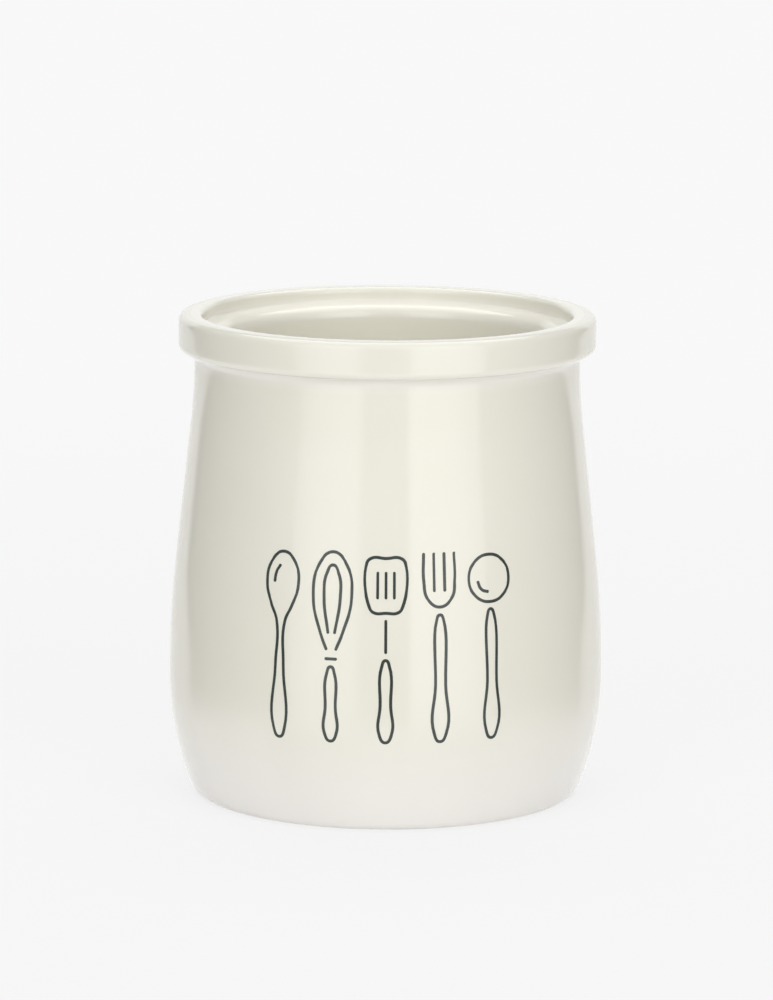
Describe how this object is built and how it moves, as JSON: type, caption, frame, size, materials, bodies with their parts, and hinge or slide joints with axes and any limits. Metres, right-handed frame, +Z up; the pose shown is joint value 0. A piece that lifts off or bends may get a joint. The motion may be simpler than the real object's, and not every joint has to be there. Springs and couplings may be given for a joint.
{
  "type": "utensil crock",
  "caption": "Round glazed ceramic utensil crock: swelling belly, stepped collar at the mouth, recessed inner ledge and a bare clay foot ring. Holds upright kitchen utensils.",
  "frame": {"origin": "middle of the foot ring, on the plane that the crock stands on", "axes": "+Z up along the crock's axis; -Y towards the decorated front; the form is the same all round"},
  "size_m": [0.135, 0.135, 0.15],
  "materials": {
    "fired_clay": "bare fired clay, dry and matt",
    "outside_glaze": "glossy ivory glaze",
    "liner_glaze": "glossy ivory glaze",
    "underside_glaze": "glossy ivory glaze"
  },
  "bodies": {
    "root": {"clay_body": "fired_clay", "outer_glaze": "outside_glaze", "inner_glaze": "liner_glaze", "base_glaze": "underside_glaze"}
  },
  "joints": []
}
